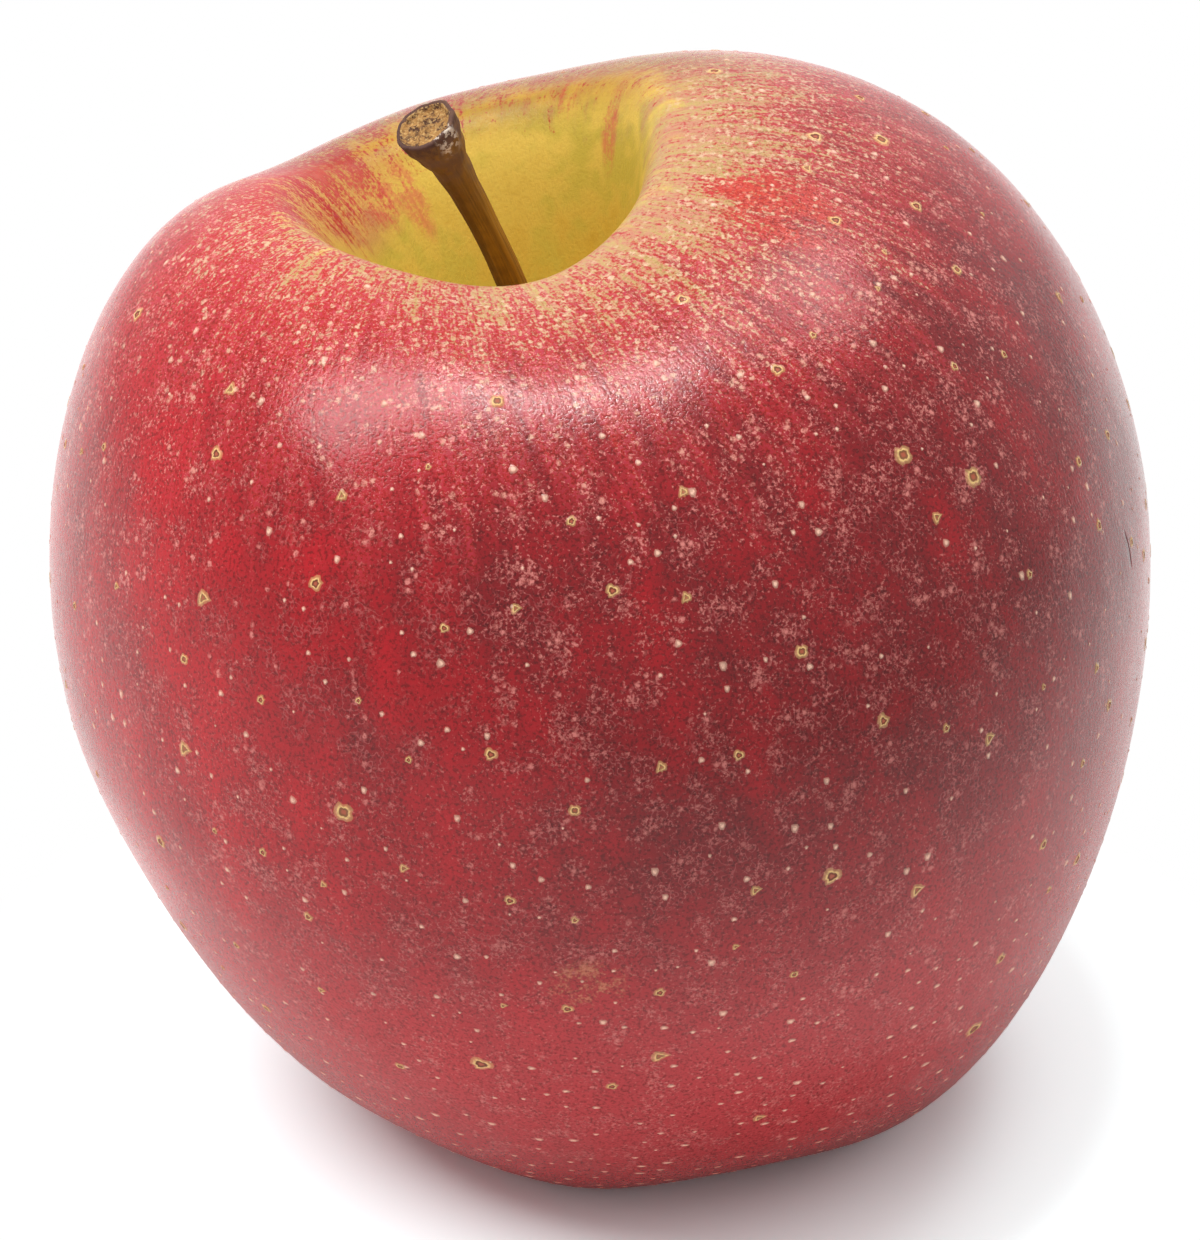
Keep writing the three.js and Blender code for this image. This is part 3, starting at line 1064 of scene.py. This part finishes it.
def tuftTree(sizes):
    given, size = startTree("tuft", sizes)

    def draw(low, high, seed):
        return given.make("FunctionNodeRandomValue", {"data_type": "FLOAT"}, {
            2: low, 3: high, "Seed": size["Seed"] + seed}, output=1)

    turn = draw(0.0, tau, 1)
    reach = draw(0.0, 1.0, 2)
    reach = reach.calc("SQRT", reach) * size["Spread"]
    place = vector(reach * turn.calc("COSINE", turn), reach * turn.calc("SINE", turn), 0.0)
    points = given.make("GeometryNodePoints", None, {"Count": size["Count"], "Position": place})
    tip = vector(size["Length"] * -0.04, size["Length"] * 0.1, -size["Length"])
    thread = given.make("GeometryNodeCurveQuadraticBezier", None, {
        "Resolution": 10,
        "Start": (0.0, 0.0, 0.0),
        "Middle": vector(size["Length"] * 0.12, 0.0, size["Length"] * -0.5),
        "End": tip,
    })
    section = given.make("GeometryNodeCurvePrimitiveCircle", None, {
        "Resolution": 7, "Radius": size["Thickness"]})
    filament = thread.make("GeometryNodeCurveToMesh", None, {
        "Curve": thread, "Profile Curve": section, "Fill Caps": True})
    head = given.make("GeometryNodeMeshUVSphere", None, {"Segments": 8, "Rings": 6, "Radius": size["Head"]})
    moved = head.make("GeometryNodeTransform", None, {
        "Geometry": head,
        "Translation": tip,
        "Scale": (0.8, 0.8, 1.7),
    })
    both = given.make("GeometryNodeJoinGeometry")
    for part in (filament, moved):
        given.tree.links.new(part.socket, both.socket.node.inputs[0])
    lean = size["Lean"] * reach / size["Spread"]
    tilt = vector(lean * turn.calc("SINE", turn) * -1.0, lean * turn.calc("COSINE", turn), draw(0.0, tau, 3))
    turned = given.make("FunctionNodeEulerToRotation", None, {0: tilt})
    placed = points.make("GeometryNodeInstanceOnPoints", None, {
        "Points": points,
        "Instance": both,
        "Rotation": turned,
        "Scale": vector(1.0, 1.0, draw(0.6, 1.0, 4)),
    })
    return finishTree(placed, size["Material"])


# Camera, lamps, floor and background

stageSizes = {
    "elevation": radians(28),
    "distance": 0.6,
    "lens": 239.95,
    "aim": Vector((-0.2, -0.5, -1.0)) * mm,
    "floorReach": 3.0,
    "floorGrain": 20 * mm,
    "floorTones": (paint(246, 245, 244), paint(250, 249, 248)),
    "roomLight": 0.38,
    "floorGain": (1.52, 1.80, 1.83, 1.0),
    "shadowReach": (20 * mm, 52 * mm),
}
lamps = {
    "topLeft": {"towards": (-0.41, -0.15, 0.90), "away": 1.0, "size": (0.32, 0.88), "watts": 9.0},
    "topMiddle": {"towards": (0.05, 0.03, 0.90), "away": 1.0, "size": (0.08, 0.12), "watts": 3.0},
    "topRight": {"towards": (0.38, 0.36, 0.84), "away": 1.0, "size": (0.34, 0.36), "watts": 2.2},
}


def makeCamera(size):
    low, high = corners("fruit")
    back = Vector((0, -cos(size["elevation"]), sin(size["elevation"])))
    data = bpy.data.cameras.new("camera")
    data.lens = size["lens"]
    camera = linked(bpy.data.objects.new("camera", data))
    camera.location = (low + high) / 2 + size["aim"] + back * size["distance"]
    camera.rotation_euler = back.to_track_quat("Z", "Y").to_euler()
    bpy.context.scene.camera = camera


def makeLamp(name, lamp):
    data = bpy.data.lights.new(name, "AREA")
    data.shape = "RECTANGLE"
    data.size, data.size_y = lamp["size"]
    data.energy = lamp["watts"]
    towards = Vector(lamp["towards"]).normalized()
    light = linked(bpy.data.objects.new(name, data))
    light.location = Vector((0, 0, cadBox[1][2] / 2)) + towards * lamp["away"]
    light.rotation_euler = towards.to_track_quat("Z", "Y").to_euler()


def seenDirectly(wire):  # 1 for rays from the camera, a mirror or a glass
    path = wire.make("ShaderNodeLightPath")
    mirrored = wire.calc("MAXIMUM", path.other("Is Glossy Ray"), path.other("Is Transmission Ray"))
    return wire.calc("MAXIMUM", path.other("Is Camera Ray"), mirrored)


def makeWorld(roomLight):
    world = bpy.data.worlds.new("paleRoom")
    world.use_nodes = True
    world.node_tree.nodes.clear()
    wire = Wire(world.node_tree)
    background = wire.make("ShaderNodeBackground", None, {
        "Color": (1.0, 1.0, 1.0, 1.0), "Strength": roomLight + (1 - roomLight) * seenDirectly(wire)})
    wire.make("ShaderNodeOutputWorld", None, {"Surface": background})
    bpy.context.scene.world = world


def makeFloor(size):
    material, wire = startMaterial("paleFloor")
    here = wire.make("ShaderNodeTexCoord").other("Object")
    tone = mix(cloud(here, size["floorGrain"]), *size["floorTones"])
    matt = wire.make("ShaderNodeBsdfDiffuse", None, {"Color": tone})
    bright = wire.make("ShaderNodeBsdfDiffuse", None, {"Color": size["floorGain"]})
    white = wire.make("ShaderNodeEmission", None, {"Color": (1.0, 1.0, 1.0, 1.0)})
    away = here.make("ShaderNodeVectorMath", {"operation": "LENGTH"}, {0: here}, output=1)
    fade = step(away, *size["shadowReach"])
    faded = wire.make("ShaderNodeMixShader", None, {0: fade, 1: bright, 2: white})
    fromCamera = wire.make("ShaderNodeLightPath").other("Is Camera Ray")
    shown = wire.make("ShaderNodeMixShader", None, {0: fromCamera, 1: matt, 2: faded})
    clear = wire.make("ShaderNodeBsdfTransparent")
    under = wire.make("ShaderNodeNewGeometry").other("Backfacing")
    oneSided = wire.make("ShaderNodeMixShader", None, {0: under, 1: shown, 2: clear})
    wire.make("ShaderNodeOutputMaterial", None, {"Surface": oneSided})
    reach = size["floorReach"]
    mesh = bpy.data.meshes.new("floor")
    mesh.from_pydata([(-reach, -reach, 0), (reach, -reach, 0), (reach, reach, 0), (-reach, reach, 0)], [],
                     [(0, 1, 2, 3)])
    mesh.materials.append(material)
    linked(bpy.data.objects.new("floor", mesh))


makeCamera(stageSizes)
for name, lamp in lamps.items():
    makeLamp(name, lamp)
makeWorld(stageSizes["roomLight"])
makeFloor(stageSizes)
bpy.context.scene.view_settings.view_transform = "Standard"
print("camera, lamps and floor are up")

skinPaint = skinMaterial(skinLook)
skin = makeSkin(skinPaint)
keepPiece(skin, "skin", "fruit")

draw = Random(dotSeed)
openShapes = dotShapes("open", openShape, draw)
keepPiece(makeDots("openDots", skin, skinPaint, openDots, openShapes), "skin")
paleShapes = dotShapes("pale", paleShape, draw)
keepPiece(makeDots("paleDots", skin, skinPaint, paleDots, paleShapes), "skin")

keepPiece(makeStem(stemSizes, stemMaterial(stemLook)), "stem_bark", "stem")

low, high = corners("stamens")
flowerRoot = Vector(((low.x + high.x) / 2, (low.y + high.y) / 2, high.z))
leafPaint = driedMaterial("driedLeaf", driedLook["leafDark"], driedLook["leaf"], driedLook)
for index in range(sepalSizes["count"]):
    sepal = makeSepal(index, flowerRoot, sepalSizes, leafPaint)
    keepPiece(sepal, "dried_sepal", f"sepal_{index + 1}")

tuftPaint = driedMaterial("driedTuft", driedLook["tuft"], driedLook["tuftLight"], driedLook)
tuftGiven = {**tuftSizes, "Material": tuftPaint}
tuft = growPiece("driedTuft", tuftTree(tuftGiven), tuftGiven)
tuft.data.transform(Matrix.Translation(flowerRoot))
keepPiece(tuft, "dried_stamen", "stamens")
